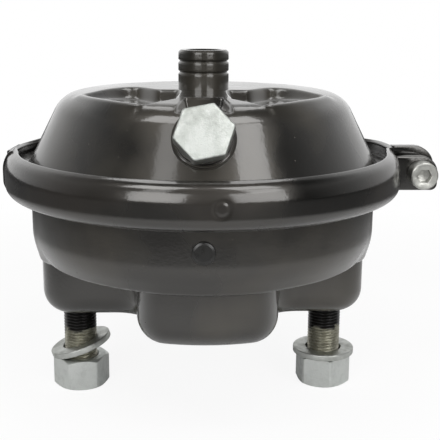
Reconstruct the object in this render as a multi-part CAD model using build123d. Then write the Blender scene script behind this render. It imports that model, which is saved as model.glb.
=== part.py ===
from build123d import *
from math import atan, cos, degrees, radians, sin, tan
import os

# Service air brake chamber for a disc brake, in millimetres.
# The origin is the centre of the mounting face, the push rod lies on Z, and the two
# studs hang down from the face along a line on X. -Y is the side with the side port.

# Pressed sheet of both housings, and how far the solids that cut holes run past a sheet
wall = 3.0
past = 10.0

# Mounting studs, M16: their spacing sets how far everything else reaches in plan
stud_spacing = 120.65
stud_radius = 7.9
stud_length = 42.2
stud_bevel = 1.0
stud_clearance = 0.25
stud_head_radius = 12.0
stud_head_height = 6.0
stud_x = stud_spacing / 2

# Mounting housing: a cross-shaped pad with two stud wings and two lobes, then a bowl.
# The heights hang from the joint between the housings
joint_height = 65.1
wing_past_stud = 16.475
wing_half_depth = 30.0
wing_inset = 3.4
lobe_inset = 6.6
lobe_half_width = 29.9
pad_corner = 12.0
pad_bend = 10.0
pilot_radius = 27.0
bowl_straight = 31.1
bowl_lean_height = 9.0
bowl_knee_bend = 32.0
bowl_lean = 28.0
bowl_floor_bend = 3.5
wing_reach = stud_x + wing_past_stud
bowl_radius = wing_reach + wing_inset
lobe_reach = bowl_radius - lobe_inset
bowl_knee = joint_height - bowl_straight
bowl_floor = bowl_knee - bowl_lean_height

# Clamp band: a channel whose two sloping legs draw the housing flanges together
band_lip_gap = 5.4
band_leg_reach = 6.8
band_half_height = 10.1
band_leg_slope = 25.0
band_wall = 3.0
band_bend = 6.0
seat_gap = 0.15
rim_gap = 0.5
rim_bend = 3.0
band_lip_radius = bowl_radius + band_lip_gap
band_radius = band_lip_radius + band_leg_reach

# Ends of the clamp band: two bolted ears on +X, a hooked tongue on -X
ear_gap = 3.0
ear_thickness = 5.0
ear_reach = 19.0
ear_front_rise = 6.2
ear_corner = 12.0
ear_foot_corner = 3.0
tongue_thickness = 1.2
tongue_half_height = 7.0
tongue_gap = 0.1
split_gap = 0.6
split_angle = 180.0
tongue_root_angle = 6.0
tongue_reach_angle = 7.0
tongue_start = split_angle - tongue_root_angle
tongue_end = split_angle + tongue_reach_angle

# Clamp bolt and nut, M8
bolt_offset = 10.8
bolt_drop = 2.0
bolt_radius = 3.95
bolt_clearance = 0.35
bolt_head_radius = 6.5
bolt_head_height = 8.0
bolt_head_bevel = 0.7
bolt_socket_across_flats = 6.0
bolt_socket_depth = 4.0
bolt_past_nut = 2.5
nut_across_flats = 13.0
nut_height = 6.5

# Rubber diaphragm
rubber = 3.0
crown_inset = 22.7
crown_drop = 10.3
fold_inset = 6.0
fold_bend = 5.0
crown_radius = bowl_radius - crown_inset
fold_radius = bowl_radius - fold_inset

# Pressure housing: flat top, leaning wall, two pressed pockets with a ridge between
# them, and a notch that cuts the ridge's end above the side port
cap_rise = 37.4
cap_lip_gap = 2.4
cap_lean = 27.0
cap_bend = 18.0
foot_bend = 3.0
pocket_depth = 5.5
pocket_inset = 22.7
pocket_back = 9.0
pocket_corner = 7.0
pocket_draft = 25.0
ridge_half_width = 9.0
ridge_flare = 9.0
ridge_flare_length = 18.5
notch_half_width = 7.2
notch_flare = 9.0
notch_length = 15.0
notch_depth = 4.0
notch_corner = 2.5
cap_base_radius = band_lip_radius - cap_lip_gap
pocket_reach = cap_base_radius - pocket_inset
ridge_flare_start = pocket_reach - ridge_flare_length
notch_start = pocket_reach - notch_length

# Side port on the leaning wall, and the line of the front features about Z
front_angle = 268.7
port_drop = 13.7
port_rise = cap_rise - port_drop
port_boss_radius = 12.2
port_boss_proud = 1.6
port_spigot_radius = 10.5
port_spigot_inside = 3.0
weld_gap = 0.05
thread_radius = 8.0
thread_fit = 0.05
tapped_radius = 7.2
plug_across_flats = 22.0
plug_head_height = 5.8
plug_bevel = 0.6
plug_turn = 11.7
plug_washer_radius = 11.6
plug_washer_thickness = 1.6

# Air inlet stub on top
stub_radius = 11.7
stub_rise = 17.8
stub_inside = 2.0
stub_bevel = 1.0
groove_depth = 0.8
groove_spacing = 5.05
groove_count = 2

# Vent holes round the bowl
vent_drop = 20.7
vent_height = joint_height - vent_drop
vent_radius = 4.0
vent_cap_radius = 4.9
vent_cap_proud = 1.2
vent_stem_inside = 2.0
vent_clearance = 0.1
open_vent_angle = 180.0

# Push rod, push plate and return spring
rod_radius = 9.0
rod_tip = 15.0
rod_tip_bend = 7.0
rod_flare_radius = 15.0
rod_flare_height = 8.0
plate_inset = 3.5
plate_thickness = 3.0
plate_bend = 2.0
plate_gap = 0.2
spring_wire_radius = 2.0
spring_foot_radius = 34.6
spring_head_inset = 5.5
spring_turns = 4.0
spring_gap = 0.15
plate_radius = crown_radius - plate_inset
spring_head_radius = plate_radius - spring_head_inset

# Plate that ties the studs inside, and the washers and nuts on them
stud_plate_thickness = 4.0
stud_plate_half_depth = 42.0
stud_plate_hole_radius = 32.0
stud_plate_gap = 0.2
stud_nut_across_flats = 24.0
stud_nut_height = 14.8
stud_nut_proud = 1.0
stud_nut_bore_gap = 0.1
stud_nut_bevel_slope = 30.0
stud_nut_turns = (10.0, 38.0)
washer_radius = 15.0
washer_bore_radius = 8.75
washer_thickness = 3.0
washer_bevel = 0.5
washer_gap = 0.05
washer_tilt = 18.5

# Rubber boot round the rod and the ring that holds it
boot_lip_proud = 1.2
boot_lip_inner = 21.5
boot_flange_radius = 30.5
boot_flange_thickness = 2.0
boot_top_gap = 8.0
boot_collar_height = 6.0
boot_rubber = 1.6
boot_crest_radius = 24.0
boot_root_radius = 16.5
boot_folds = 4
boot_gap = 0.3
boot_ring_thickness = 1.8
boot_ring_inner = 25.5

# Heights and radii worked out from the sizes above
flange_radius = band_radius - band_wall - rim_gap
cap_top = joint_height + cap_rise
crown_top = cap_top - crown_drop
plate_top = crown_top - rubber - plate_gap
plate_foot = plate_top - plate_thickness
nut_foot = -stud_length - stud_nut_proud
nut_top = nut_foot + stud_nut_height
bolt_x = band_radius + bolt_offset
bolt_z = joint_height - bolt_drop
ear_outside = ear_gap / 2 + ear_thickness
half_ear_angle = degrees(ear_gap / 2 / (band_lip_radius - band_wall))
stud_seat = wall + stud_plate_thickness
boot_top = plate_foot - rod_flare_height - boot_top_gap


def leg_inside(radius):
    """Height above the joint plane of the upper band leg's inner face."""
    drop = (radius - band_lip_radius) * tan(radians(band_leg_slope))
    return band_half_height - band_wall / cos(radians(band_leg_slope)) - drop


def flange_face(radius):
    """Height above the joint plane of the face that the band leg presses on."""
    return leg_inside(radius) - seat_gap


def cap_radius(rise, inset=0.0):
    """Radius of the cap's leaning wall at a rise above the joint plane."""
    lean = radians(cap_lean)
    return cap_base_radius - rise * tan(lean) - inset / cos(lean)


def cap_foot_rise():
    """Rise at which the leaning wall meets the sloping flange face."""
    slope = tan(radians(band_leg_slope))
    rise_at_base = flange_face(cap_base_radius)
    return rise_at_base / (1 - slope * tan(radians(cap_lean)))


def bowl_wall_radius(height, inset=0.0):
    """Radius of the bowl's leaning lower wall at a height."""
    lean = radians(bowl_lean)
    return bowl_radius - (bowl_knee - height) * tan(lean) - inset / cos(lean)


def turned(points, radii, arc=360.0):
    """Solid of revolution about Z of a closed outline of (radius, height) points."""
    outline = make_face(FilletPolyline(*points, radius=radii, close=True))
    return revolve(Plane.XZ * outline, Axis.Z, arc)


def drum(radius, foot, top):
    """Upright cylinder between two heights."""
    return Pos(0, 0, (foot + top) / 2) * Cylinder(radius, top - foot)


def hexagon(across_flats, turn=0.0):
    """Hexagon with a corner at the turn angle."""
    return RegularPolygon(across_flats / 2, 6, major_radius=False, rotation=turn)


def front_line():
    """Turn about Z that carries the -Y side onto the line of the front features."""
    return Rot(0, 0, front_angle - 270)


def port_plane():
    """Plane on the leaning wall at the side port, facing out along the port's axis."""
    lean = radians(cap_lean)
    line = radians(front_angle)
    radius = cap_radius(port_rise)
    out = (cos(line) * cos(lean), sin(line) * cos(lean), sin(lean))
    origin = (radius * cos(line), radius * sin(line), joint_height + port_rise)
    return Plane(origin=origin, x_dir=(-sin(line), cos(line), 0), z_dir=out)


def port_drum(radius, foot, top):
    """Cylinder on the side port's axis, measured out from the wall."""
    return port_plane() * drum(radius, foot, top)


def cap_envelope():
    """Outside of the pressure housing as a filled solid, without its pockets."""
    rise = cap_foot_rise()
    rim = flange_face(flange_radius)
    points = [
        (0, joint_height + rubber / 2),
        (flange_radius, joint_height + rubber / 2),
        (flange_radius, joint_height + rim),
        (cap_radius(rise), joint_height + rise),
        (cap_radius(cap_rise), cap_top),
        (0, cap_top),
    ]
    return turned(points, [0, 0, rim_bend, foot_bend, cap_bend, 0])


def cap_cavity():
    """Inside of the pressure housing as a filled solid, without its pockets."""
    foot_rise = rubber / 2 - 1
    points = [
        (0, joint_height + foot_rise),
        (cap_radius(foot_rise, wall), joint_height + foot_rise),
        (cap_radius(cap_rise - wall, wall), cap_top - wall),
        (0, cap_top - wall),
    ]
    return turned(points, [0, 0, cap_bend - wall, 0])


def pocket_plan(side, grow=0.0):
    """Outline of one pocket in the flat top: side is -1 or 1."""
    near = ridge_half_width
    far = ridge_half_width + ridge_flare
    points = [
        (side * near, -pocket_back),
        (side * pocket_reach, -pocket_back),
        (side * pocket_reach, -pocket_reach),
        (side * far, -pocket_reach),
        (side * near, -ridge_flare_start),
    ]
    corner = make_face(Polyline(*points, close=True))
    plan = corner & Circle(pocket_reach)
    plan = fillet(plan.vertices(), pocket_corner)
    return offset(plan, grow) if grow else plan


def pocket_block(side, grow, depth):
    """One pocket, drafted inwards, from the flat top down to a depth."""
    plan = Plane.XY.offset(cap_top) * pocket_plan(side, grow)
    return front_line() * extrude(plan, amount=-depth, taper=pocket_draft)


def notch_block(grow, depth):
    """The notch at the ridge's end, open to the front, from the flat top down."""
    near = notch_half_width
    far = notch_half_width + notch_flare
    front = cap_base_radius + past
    points = [(near, -notch_start), (far, -pocket_reach), (far, -front)]
    points += [(-x, y) for x, y in reversed(points)]
    plan = make_face(Polyline(*points, close=True))
    plan = fillet(plan.vertices().sort_by(Axis.Y)[-2:], notch_corner)
    plan = offset(plan, grow) if grow else plan
    plan = Plane.XY.offset(cap_top) * plan
    return front_line() * extrude(plan, amount=-depth, taper=pocket_draft)


def pressure_housing():
    """Upper shell: turned form, pressed pockets, holes for the stub and the port boss."""
    envelope = cap_envelope()
    shell = envelope - cap_cavity()
    for side in (-1, 1):
        shell += pocket_block(side, wall, pocket_depth + wall) & envelope
    shell += notch_block(wall, notch_depth + wall) & envelope
    for side in (-1, 1):
        shell -= pocket_block(side, 0.0, pocket_depth)
    shell -= notch_block(0.0, notch_depth)
    shell -= drum(stub_radius + weld_gap, cap_top - past, cap_top + past)
    shell -= port_drum(port_spigot_radius + weld_gap, -past, past)
    return shell


def air_inlet_stub():
    """Turned stub with a tapped bore and two V grooves round its outside."""
    foot = cap_top - wall - stub_inside
    top = cap_top + stub_rise
    points = [
        (tapped_radius, foot),
        (stub_radius, foot),
        (stub_radius, top - stub_bevel),
        (stub_radius - stub_bevel, top),
        (tapped_radius + stub_bevel, top),
        (tapped_radius, top - stub_bevel),
    ]
    stub = turned(points, [0] * 6)
    for index in range(groove_count):
        height = top - groove_spacing * (index + 1)
        groove = [
            (stub_radius + groove_depth, height + 2 * groove_depth),
            (stub_radius - groove_depth, height),
            (stub_radius + groove_depth, height - 2 * groove_depth),
        ]
        stub -= turned(groove, [0] * 3)
    return stub


def side_port_boss():
    """Welded boss: a spigot through the wall and a collar that follows the wall."""
    collar = port_drum(port_boss_radius, -wall, port_boss_proud) - cap_envelope()
    collar += port_drum(port_boss_radius, -wall, 0) & notch_block(0.0, notch_depth)
    spigot = port_drum(port_spigot_radius, -wall - port_spigot_inside, port_boss_proud)
    bore = port_drum(thread_radius, -past, past)
    return collar + spigot - bore


def port_plug_washer():
    """Flat sealing washer under the plug's head."""
    top = port_boss_proud + plug_washer_thickness
    ring = port_drum(plug_washer_radius, port_boss_proud, top)
    return ring - port_drum(thread_radius, 0, past)


def port_plug():
    """Hexagon-headed plug in the side port."""
    seat = port_boss_proud + plug_washer_thickness
    head = extrude(hexagon(plug_across_flats, plug_turn), amount=plug_head_height)
    head = chamfer(head.faces().sort_by(Axis.Z)[-1].edges(), plug_bevel)
    shank = drum(thread_radius - thread_fit, -wall - port_spigot_inside - seat, 0)
    return port_plane() * (Pos(0, 0, seat) * (head + shank))


def bowl_envelope(inset, top):
    """Bowl as a filled solid, moved in from its outside by an inset, up to a height."""
    knee = bowl_knee + inset * tan(radians(bowl_lean / 2))
    floor = bowl_floor + inset
    points = [
        (0, top),
        (bowl_radius - inset, top),
        (bowl_radius - inset, knee),
        (bowl_wall_radius(floor, inset), floor),
        (0, floor),
    ]
    return turned(points, [0, 0, bowl_knee_bend - inset, bowl_floor_bend, 0])


def lower_flange():
    """Sloping flange round the mouth of the bowl as a filled disc."""
    rim = flange_face(flange_radius)
    foot = flange_face(bowl_radius)
    points = [
        (0, joint_height - rubber / 2),
        (flange_radius, joint_height - rubber / 2),
        (flange_radius, joint_height - rim),
        (bowl_radius, joint_height - foot),
        (0, joint_height - foot),
    ]
    return turned(points, [0, 0, rim_bend, 0, 0])


def pad_plan(inset):
    """Cross-shaped outline of the mounting pad: wings on X, lobes on Y."""
    wings = Rectangle(2 * wing_reach, 2 * wing_half_depth) & Circle(wing_reach)
    lobes = Rectangle(2 * lobe_half_width, 2 * lobe_reach) & Circle(lobe_reach)
    plan = wings + lobes
    plan = fillet(plan.vertices(), pad_corner)
    return offset(plan, -inset) if inset else plan


def pad_block(inset, foot, top):
    """Mounting pad as a filled solid with its bottom edge rounded."""
    block = extrude(Plane.XY.offset(foot) * pad_plan(inset), amount=top - foot)
    bottom = block.faces().sort_by(Axis.Z)[0]
    return fillet(bottom.edges(), pad_bend - inset)


def vent_plane(angle):
    """Plane on the bowl's wall at a vent, facing out."""
    line = radians(angle)
    out = (cos(line), sin(line), 0)
    origin = (bowl_radius * out[0], bowl_radius * out[1], vent_height)
    return Plane(origin=origin, x_dir=(-out[1], out[0], 0), z_dir=out)


def vent_angles():
    """Directions of the four vents: the open one, the right one, rear and front."""
    return {"open": open_vent_angle, "right": 0.0,
            "rear": front_angle - 180, "front": front_angle}


def mounting_housing():
    """Lower shell: bowl, flange and cross-shaped pad, with its holes."""
    joint_face = joint_height - rubber / 2
    shell = bowl_envelope(0.0, joint_face) + lower_flange()
    shell += pad_block(0.0, 0.0, bowl_knee)
    shell -= bowl_envelope(wall, joint_height)
    shell -= pad_block(wall, wall, bowl_knee)
    shell -= drum(pilot_radius, -past, past)
    for side in (-1, 1):
        hole = drum(stud_radius + stud_clearance, -past, past)
        shell -= Pos(side * stud_x, 0, 0) * hole
    for angle in vent_angles().values():
        shell -= vent_plane(angle) * drum(vent_radius, -past, past)
    return shell


def vent_plug(angle):
    """Plastic plug pressed into a vent hole."""
    stem = drum(vent_radius - vent_clearance, -wall - vent_stem_inside, 0)
    cap = drum(vent_cap_radius, -wall, vent_cap_proud)
    cap = fillet(cap.edges().sort_by(Axis.Z)[-1:], vent_cap_proud / 2)
    cap = vent_plane(angle) * cap - drum(bowl_radius, 0, joint_height)
    return cap + vent_plane(angle) * stem


def band_section():
    """Corner points of the channel section, from the top lip round to the bottom lip."""
    lean = radians(band_leg_slope)
    inner_lip = band_half_height - band_wall / cos(lean)
    inside = band_radius - band_wall
    outer_knee = band_half_height - (band_radius - band_lip_radius) * tan(lean)
    upper = [
        (band_lip_radius, inner_lip),
        (band_lip_radius, band_half_height),
        (band_radius, outer_knee),
    ]
    points = [(inside, leg_inside(inside))] + upper
    radii = [band_bend - band_wall, 0, 0, band_bend]
    points += [(r, -z) for r, z in reversed(points)]
    radii += list(reversed(radii))
    return [(r, joint_height + z) for r, z in points], radii


def band_arc(start, end):
    """Stretch of the channel between two angles about Z."""
    points, radii = band_section()
    return Rot(0, 0, start) * turned(points, radii, end - start)


def band_core():
    """Everything inside the middle of the channel's wall, to keep the ears out of it."""
    inside = band_radius - band_wall / 2
    return drum(inside, joint_height - band_half_height - past, joint_height + band_half_height + past)


def ear(side, rise):
    """Bolted ear on +X: side -1 in front of the gap, 1 behind it."""
    left = band_radius - 2 * band_wall
    right = band_radius + ear_reach
    foot = joint_height - band_half_height
    top = joint_height + rise
    points = [(left, foot), (right, foot), (right, top), (left, top)]
    radii = [0, ear_foot_corner, ear_corner, 0]
    face = make_face(FilletPolyline(*points, radius=radii, close=True))
    plate = extrude(Plane.XZ * face, amount=ear_thickness)
    shift = ear_outside if side > 0 else -ear_gap / 2
    hole = Pos(bolt_x, 0, bolt_z) * Rot(90, 0, 0) * Cylinder(
        bolt_radius + bolt_clearance, 2 * past)
    return Pos(0, shift, 0) * plate - band_core() - hole


def clamp_ring_front():
    """Front half of the band, from the hooked joint round to the front ear."""
    half_split = degrees(split_gap / 2 / band_radius)
    arc = band_arc(split_angle + half_split, 360 - half_ear_angle)
    return arc + ear(-1, ear_front_rise)


def clamp_ring_rear():
    """Rear half of the band, with the rear ear and the tongue that hooks the front half."""
    half_split = degrees(split_gap / 2 / band_radius)
    half = band_arc(half_ear_angle, split_angle - half_split) + ear(1, band_half_height)
    outside = band_radius + tongue_gap + tongue_thickness
    over = [
        (band_radius + tongue_gap, joint_height - tongue_half_height),
        (outside, joint_height - tongue_half_height),
        (outside, joint_height + tongue_half_height),
        (band_radius + tongue_gap, joint_height + tongue_half_height),
    ]
    sharp = [0] * len(over)
    hook = Rot(0, 0, tongue_start) * turned(over, sharp, tongue_end - tongue_start)
    middle = outside - tongue_thickness / 2
    root = [
        (band_radius - band_wall / 2, joint_height - band_wall),
        (middle, joint_height - band_wall),
        (middle, joint_height + band_wall),
        (band_radius - band_wall / 2, joint_height + band_wall),
    ]
    weld_start = tongue_start + 2 * half_split
    weld_end = split_angle - 2 * half_split
    weld = Rot(0, 0, weld_start) * turned(root, sharp, weld_end - weld_start)
    return half + hook + weld


def bolt_frame():
    """Places a piece drawn on Z onto the clamp bolt's line, its +Z facing -Y."""
    return Pos(bolt_x, 0, bolt_z) * Rot(90, 0, 0)


def clamp_bolt():
    """Socket-head screw through both ears."""
    head = drum(bolt_head_radius, ear_outside, ear_outside + bolt_head_height)
    head = chamfer(head.edges().sort_by(Axis.Z)[-1:], bolt_head_bevel)
    socket = extrude(hexagon(bolt_socket_across_flats), amount=bolt_socket_depth)
    head -= Pos(0, 0, ear_outside + bolt_head_height - bolt_socket_depth) * socket
    tip = -ear_outside - nut_height - bolt_past_nut
    return bolt_frame() * (head + drum(bolt_radius, tip, ear_outside))


def clamp_nut():
    """Hexagon nut behind the rear ear."""
    nut = extrude(hexagon(nut_across_flats), amount=nut_height)
    nut -= drum(bolt_radius + thread_fit, -past, past)
    return bolt_frame() * (Pos(0, 0, -ear_outside - nut_height) * nut)


def diaphragm():
    """Rubber diaphragm: a bead between the flanges, a sloping fold and a flat crown."""
    bead_radius = flange_radius - rim_gap
    top = joint_height + rubber / 2
    foot = joint_height - rubber / 2
    points = [
        (0, crown_top),
        (0, crown_top - rubber),
        (crown_radius - rubber / 2, crown_top - rubber),
        (fold_radius - rubber / 2, foot),
        (bead_radius, foot),
        (bead_radius, top),
        (fold_radius, top),
        (crown_radius, crown_top),
    ]
    return turned(points, [0, 0, 2, fold_bend, 0, 0, 2, fold_bend])


def push_plate():
    """Steel plate under the diaphragm's crown."""
    points = [(0, plate_foot), (plate_radius, plate_foot),
              (plate_radius, plate_top), (0, plate_top)]
    return turned(points, [0, 0, plate_bend, 0])


def push_rod():
    """Rod welded under the plate, with a rounded tip below the mounting face."""
    points = [
        (0, -rod_tip),
        (rod_radius, -rod_tip),
        (rod_radius, plate_foot - rod_flare_height),
        (rod_flare_radius, plate_foot),
        (0, plate_foot),
    ]
    return turned(points, [0, rod_tip_bend, rod_flare_height, 0, 0])


def return_spring():
    """Conical coil spring between the stud plate and the push plate."""
    rest = spring_wire_radius + spring_gap
    height = plate_foot - stud_seat - 2 * rest
    spread = spring_head_radius - spring_foot_radius
    line = Helix(height / spring_turns, height, spring_foot_radius,
                 cone_angle=degrees(atan(spread / height)))
    wire = Plane(origin=line @ 0, z_dir=line % 0) * Circle(spring_wire_radius)
    return Pos(0, 0, stud_seat + rest) * sweep(wire, line, is_frenet=True)


def stud_plate():
    """Plate inside the pad that ties both studs, cut to the pad's inner shape."""
    inside = pad_block(wall + stud_plate_gap, wall, bowl_knee)
    slab = Pos(0, 0, wall + stud_plate_thickness / 2) * Box(
        2 * wing_reach, 2 * stud_plate_half_depth, stud_plate_thickness)
    plate = inside & slab
    plate -= drum(stud_plate_hole_radius, 0, past)
    for side in (-1, 1):
        plate -= Pos(side * stud_x, 0, 0) * drum(
            stud_radius + stud_clearance, 0, past)
    return plate


def mounting_stud(side):
    """Headed stud through the plate and the housing."""
    points = [
        (0, -stud_length),
        (stud_radius - stud_bevel, -stud_length),
        (stud_radius, -stud_length + stud_bevel),
        (stud_radius, stud_seat),
        (stud_head_radius, stud_seat),
        (stud_head_radius, stud_seat + stud_head_height),
        (0, stud_seat + stud_head_height),
    ]
    return Pos(side * stud_x, 0, 0) * turned(points, [0] * 7)


def stud_nut(side, turn):
    """M16 nut at the stud's end, its corners bevelled top and bottom."""
    nut = extrude(hexagon(stud_nut_across_flats, turn), amount=stud_nut_height)
    flat = stud_nut_across_flats / 2
    run = stud_nut_across_flats
    drop = (run - flat) * tan(radians(stud_nut_bevel_slope))
    lens = [
        (0, 0),
        (flat, 0),
        (run, drop),
        (run, stud_nut_height - drop),
        (flat, stud_nut_height),
        (0, stud_nut_height),
    ]
    nut = nut & turned(lens, [0] * 6)
    nut -= drum(stud_radius + stud_nut_bore_gap, -past, stud_nut_height + past)
    return Pos(side * stud_x, 0, nut_foot) * nut


def washer():
    """Plain washer lying on the XY plane, edges broken."""
    points = [
        (washer_bore_radius, washer_bevel),
        (washer_bore_radius + washer_bevel, 0),
        (washer_radius - washer_bevel, 0),
        (washer_radius, washer_bevel),
        (washer_radius, washer_thickness - washer_bevel),
        (washer_radius - washer_bevel, washer_thickness),
        (washer_bore_radius + washer_bevel, washer_thickness),
        (washer_bore_radius, washer_thickness - washer_bevel),
    ]
    return turned(points, [0] * 8)


def stud_washer_right():
    """Washer lying flat on the right nut."""
    return Pos(stud_x, 0, nut_top + washer_gap) * washer()


def stud_washer_left():
    """Washer caught askew on the left stud, leaning on the rim of the nut's top face."""
    tilt = radians(washer_tilt)
    lift = stud_nut_across_flats / 2 * sin(tilt) + washer_gap
    middle = washer_thickness / 2
    leaning = Rot(0, -washer_tilt, 0) * Pos(0, 0, -middle) * washer()
    height = nut_top + (lift + middle) / cos(tilt)
    return Pos(-stud_x, 0, height) * leaning


def rod_boot():
    """Rubber boot: sealing lip in the pilot hole, bellows, and a collar on the rod."""
    lip_foot = -boot_lip_proud
    flange_top = wall + boot_flange_thickness
    collar_foot = boot_top - boot_collar_height
    fold = (collar_foot - flange_top) / boot_folds
    outer = []
    for index in range(boot_folds):
        crest = flange_top + fold * (index + 0.5)
        outer.append((boot_root_radius, crest - fold / 2 + boot_rubber / 2))
        outer.append((boot_crest_radius, crest))
    inner = [(r - boot_rubber, z) for r, z in reversed(outer)]
    rod_face = rod_radius + boot_gap
    points = [
        (boot_lip_inner, lip_foot),
        (pilot_radius - boot_gap, lip_foot),
        (pilot_radius - boot_gap, wall),
        (boot_flange_radius, wall),
        (boot_flange_radius, flange_top),
        (boot_crest_radius, flange_top),
    ]
    points += outer
    points += [
        (rod_face + 2 * boot_rubber, collar_foot),
        (rod_face + 2 * boot_rubber, boot_top),
        (rod_face, boot_top),
        (rod_face, collar_foot - boot_rubber),
    ]
    points += inner
    points += [(boot_root_radius - boot_rubber, wall), (boot_lip_inner, wall - boot_rubber)]
    return turned(points, [0] * len(points))


def boot_retaining_ring():
    """Steel ring that presses the boot's flange onto the housing floor."""
    foot = wall + boot_flange_thickness
    top = foot + boot_ring_thickness
    ring = drum(stud_plate_hole_radius - stud_plate_gap, foot, top)
    return ring - drum(boot_ring_inner, 0, top + past)


PARTS = {
    "pressure_housing": pressure_housing,
    "mounting_housing": mounting_housing,
    "clamp_ring_front": clamp_ring_front,
    "clamp_ring_rear": clamp_ring_rear,
    "clamp_bolt": clamp_bolt,
    "clamp_nut": clamp_nut,
    "air_inlet_stub": air_inlet_stub,
    "side_port_boss": side_port_boss,
    "port_plug": port_plug,
    "port_plug_washer": port_plug_washer,
    "diaphragm": diaphragm,
    "push_plate": push_plate,
    "push_rod": push_rod,
    "return_spring": return_spring,
    "stud_plate": stud_plate,
    "mounting_stud_left": lambda: mounting_stud(-1),
    "mounting_stud_right": lambda: mounting_stud(1),
    "stud_washer_left": stud_washer_left,
    "stud_washer_right": stud_washer_right,
    "stud_nut_left": lambda: stud_nut(-1, stud_nut_turns[0]),
    "stud_nut_right": lambda: stud_nut(1, stud_nut_turns[1]),
    "vent_plug_front": lambda: vent_plug(vent_angles()["front"]),
    "vent_plug_right": lambda: vent_plug(vent_angles()["right"]),
    "vent_plug_rear": lambda: vent_plug(vent_angles()["rear"]),
    "rod_boot": rod_boot,
    "boot_retaining_ring": boot_retaining_ring,
}

os.makedirs("parts", exist_ok=True)
for node, make in PARTS.items():
    export_step(make(), os.path.join("parts", node + ".step"))
    print("wrote", node)
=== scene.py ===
# %% [markdown]
# # An air brake chamber, dressed on its CAD frame
#
# The object is a service brake chamber for a disc brake: two pressed steel shells held
# together by a clamp band, with a turned air inlet on top, a plugged side port in front
# and two threaded studs below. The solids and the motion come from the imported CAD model.
# This notebook gives every piece a finer surface and a finish that looks like the real
# material. All lengths in the shape functions are millimetres, as in a workshop drawing,
# and they become metres only when a mesh is made.

# %% Load the frame
import bpy
import numpy as np
from mathutils import Matrix, Vector


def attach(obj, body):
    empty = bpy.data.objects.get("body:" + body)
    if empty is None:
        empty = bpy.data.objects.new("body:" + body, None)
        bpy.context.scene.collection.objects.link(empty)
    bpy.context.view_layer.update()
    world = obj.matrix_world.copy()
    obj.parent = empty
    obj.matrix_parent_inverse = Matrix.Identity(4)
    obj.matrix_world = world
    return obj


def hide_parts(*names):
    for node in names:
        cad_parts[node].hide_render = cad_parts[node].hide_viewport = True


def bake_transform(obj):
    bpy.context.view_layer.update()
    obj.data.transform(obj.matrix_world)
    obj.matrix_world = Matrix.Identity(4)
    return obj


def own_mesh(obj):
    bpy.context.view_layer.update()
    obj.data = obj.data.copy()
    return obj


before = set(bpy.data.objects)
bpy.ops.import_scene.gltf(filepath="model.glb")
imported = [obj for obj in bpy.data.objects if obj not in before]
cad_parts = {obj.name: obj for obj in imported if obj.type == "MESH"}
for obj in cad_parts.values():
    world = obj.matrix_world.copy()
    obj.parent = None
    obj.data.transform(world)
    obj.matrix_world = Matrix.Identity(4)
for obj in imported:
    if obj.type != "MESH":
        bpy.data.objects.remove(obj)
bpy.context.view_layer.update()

# %% [markdown]
# ## From numbers to meshes
#
# Nearly every piece is a grid of points: rows along a profile, columns round an axis.
# A grid is easy to compute as whole arrays and gives clean four-sided faces, which glossy
# paint needs: on a scruffy mesh every reflection would wobble. The same helper closes the
# grid on itself where the piece is round, adds end caps, and turns the faces outwards by
# looking at the sign of the volume that they enclose.

# %% Grid helper
MM = 0.001
TURN = 2 * np.pi


def enclosed_volume(points, faces):
    """Sum over fan triangles of each face of (a . b x c) / 6."""
    total = 0.0
    for size in sorted({len(face) for face in faces}):
        same = np.array([face for face in faces if len(face) == size])
        a = points[same[:, 0]]
        for step in range(1, size - 1):
            b, c = points[same[:, step]], points[same[:, step + 1]]
            total += np.einsum("ij,ij->", a, np.cross(b, c)) / 6
    return total


def placed(name, data):
    """A new object in the scene that shows the data."""
    piece = bpy.data.objects.new(name, data)
    bpy.context.collection.objects.link(piece)
    return piece


def make_piece(name, points, faces, dress, sharp=32.0):
    """A finished object from points in millimetres, smooth except at edges over sharp degrees."""
    if enclosed_volume(points, faces) < 0:
        faces = [face[::-1] for face in faces]
    mesh = bpy.data.meshes.new(name)
    mesh.from_pydata((points * MM).tolist(), [], faces)
    mesh.validate()
    mesh.shade_smooth()
    mesh.set_sharp_from_angle(angle=np.radians(sharp))
    print(f"{name}: {len(points)} points, {len(faces)} faces")
    piece = placed(name, mesh)
    finish(piece, *dress)
    return piece


def grid_faces(rows, cols, wrap_rows, wrap_cols):
    """Quads between neighbours of a rows x cols grid of point numbers."""
    index = np.arange(rows * cols).reshape(rows, cols)
    if wrap_rows:
        index = np.vstack([index, index[:1]])
    if wrap_cols:
        index = np.hstack([index, index[:, :1]])
    quads = [index[:-1, :-1], index[:-1, 1:], index[1:, 1:], index[1:, :-1]]
    return np.stack(quads, -1).reshape(-1, 4).tolist()


def tube_faces(rows, cols):
    """Quads of a grid that is closed round its columns, with a cap on its first and last row."""
    caps = [list(range(cols))[::-1], list(range((rows - 1) * cols, rows * cols))]
    return grid_faces(rows, cols, False, True) + caps


def bar_faces(rows, cols):
    """Quads of a grid that is closed along its rows, with a cap on its first and last column."""
    index = np.arange(rows * cols).reshape(rows, cols)
    caps = [index[:, 0][::-1].tolist(), index[:, -1].tolist()]
    return grid_faces(rows, cols, True, False) + caps


def polar(radius, angle, height, x0=0.0):
    """Row after row of points x = x0 + r cos a, y = r sin a, z = height."""
    x, y = x0 + radius * np.cos(angle), radius * np.sin(angle)
    return np.stack([x, y, height + 0 * x], -1).reshape(-1, 3)


def unit(vectors):
    """Each vector over its own length."""
    return vectors / np.maximum(np.linalg.norm(vectors, axis=-1, keepdims=True), 1e-9)


# %% [markdown]
# ## Rounded outlines
#
# Pressed, turned and moulded parts have no sharp corners. A profile is drawn as a few
# corner points with a bend radius each, and this helper swaps every corner for an arc:
# the arc starts r / tan(half the inner angle) before the corner and its centre lies on
# the angle's middle line. Working on all corners at once keeps it short.

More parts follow.
